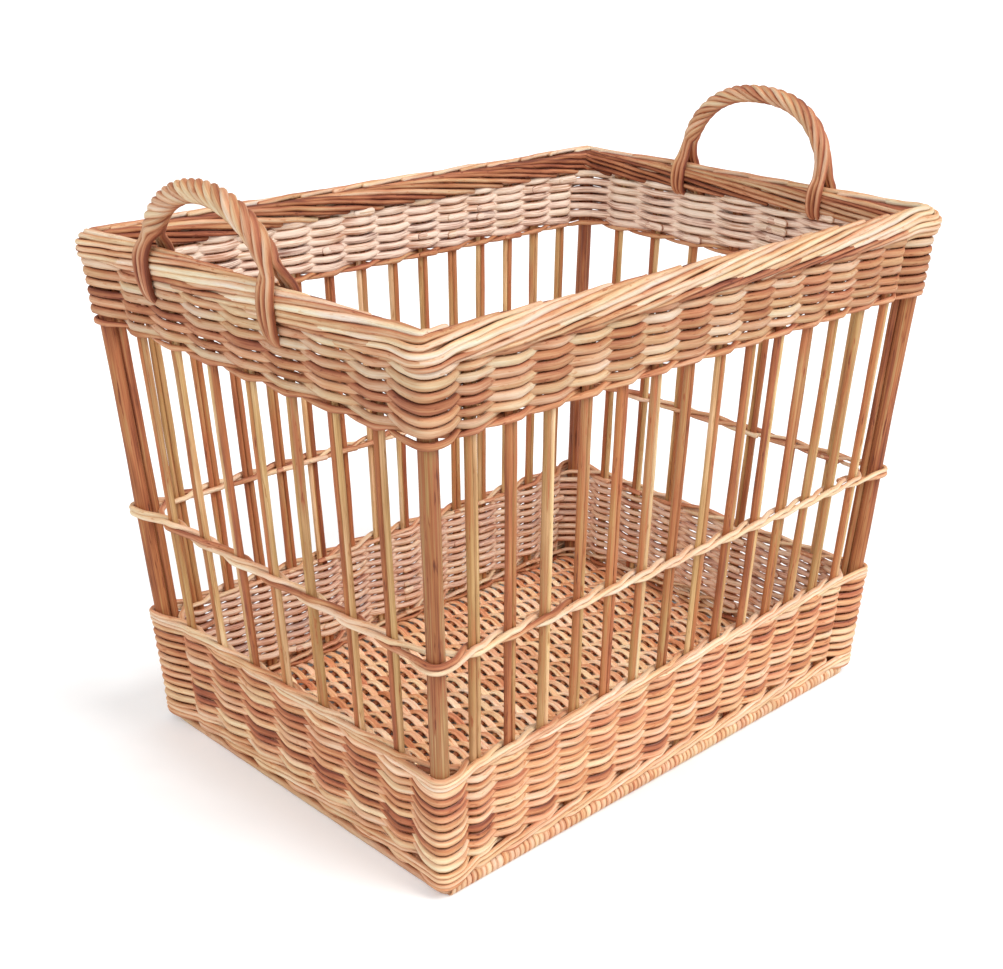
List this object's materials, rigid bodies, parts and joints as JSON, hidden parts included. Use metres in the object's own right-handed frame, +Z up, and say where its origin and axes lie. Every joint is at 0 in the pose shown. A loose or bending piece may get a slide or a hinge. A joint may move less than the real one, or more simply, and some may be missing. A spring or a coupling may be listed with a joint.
{
  "type": "wicker storage basket",
  "caption": "Open rectangular wicker basket with flared sides, woven lower and upper bands, open stakes between them and two arched rope handles.",
  "frame": {"origin": "middle of the resting face, at the bottom centre of the whole basket", "axes": "+Z up, X along the length from handle to handle, Y across the width"},
  "size_m": [0.6008, 0.422, 0.5264],
  "materials": {
    "woven_willow": "peeled willow rods, satin",
    "pale_willow": "pale peeled willow rods, satin",
    "stake": "buff willow rods, satin",
    "post": "thick buff willow rod, satin",
    "rope_handle": "twisted willow rods, satin",
    "base_stick": "willow rod, satin"
  },
  "bodies": {
    "root": {"base_weave": "woven_willow", "base_stick_1": "base_stick", "base_stick_2": "base_stick", "base_stick_3": "base_stick", "base_stick_4": "base_stick", "base_stick_5": "base_stick", "post_front_left": "post", "post_front_right": "post", "post_back_right": "post", "post_back_left": "post", "stake_front_1": "stake", "stake_front_2": "stake", "stake_front_3": "stake", "stake_front_4": "stake", "stake_front_5": "stake", "stake_front_6": "stake", "stake_front_7": "stake", "stake_front_8": "stake", "stake_front_9": "stake", "stake_front_10": "stake", "stake_front_11": "stake", "stake_front_12": "stake", "stake_front_13": "stake", "stake_front_14": "stake", "stake_back_1": "stake", "stake_back_2": "stake", "stake_back_3": "stake", "stake_back_4": "stake", "stake_back_5": "stake", "stake_back_6": "stake", "stake_back_7": "stake", "stake_back_8": "stake", "stake_back_9": "stake", "stake_back_10": "stake", "stake_back_11": "stake", "stake_back_12": "stake", "stake_back_13": "stake", "stake_back_14": "stake", "stake_left_1": "stake", "stake_left_2": "stake", "stake_left_3": "stake", "stake_left_4": "stake", "stake_left_5": "stake", "stake_left_6": "stake", "stake_left_7": "stake", "stake_right_1": "stake", "stake_right_2": "stake", "stake_right_3": "stake", "stake_right_4": "stake", "stake_right_5": "stake", "stake_right_6": "stake", "stake_right_7": "stake", "lower_rand": "woven_willow", "lower_wale": "pale_willow", "waist_pairing": "pale_willow", "upper_rand": "woven_willow", "border": "pale_willow", "handle_left": "rope_handle", "handle_right": "rope_handle"}
  },
  "joints": []
}
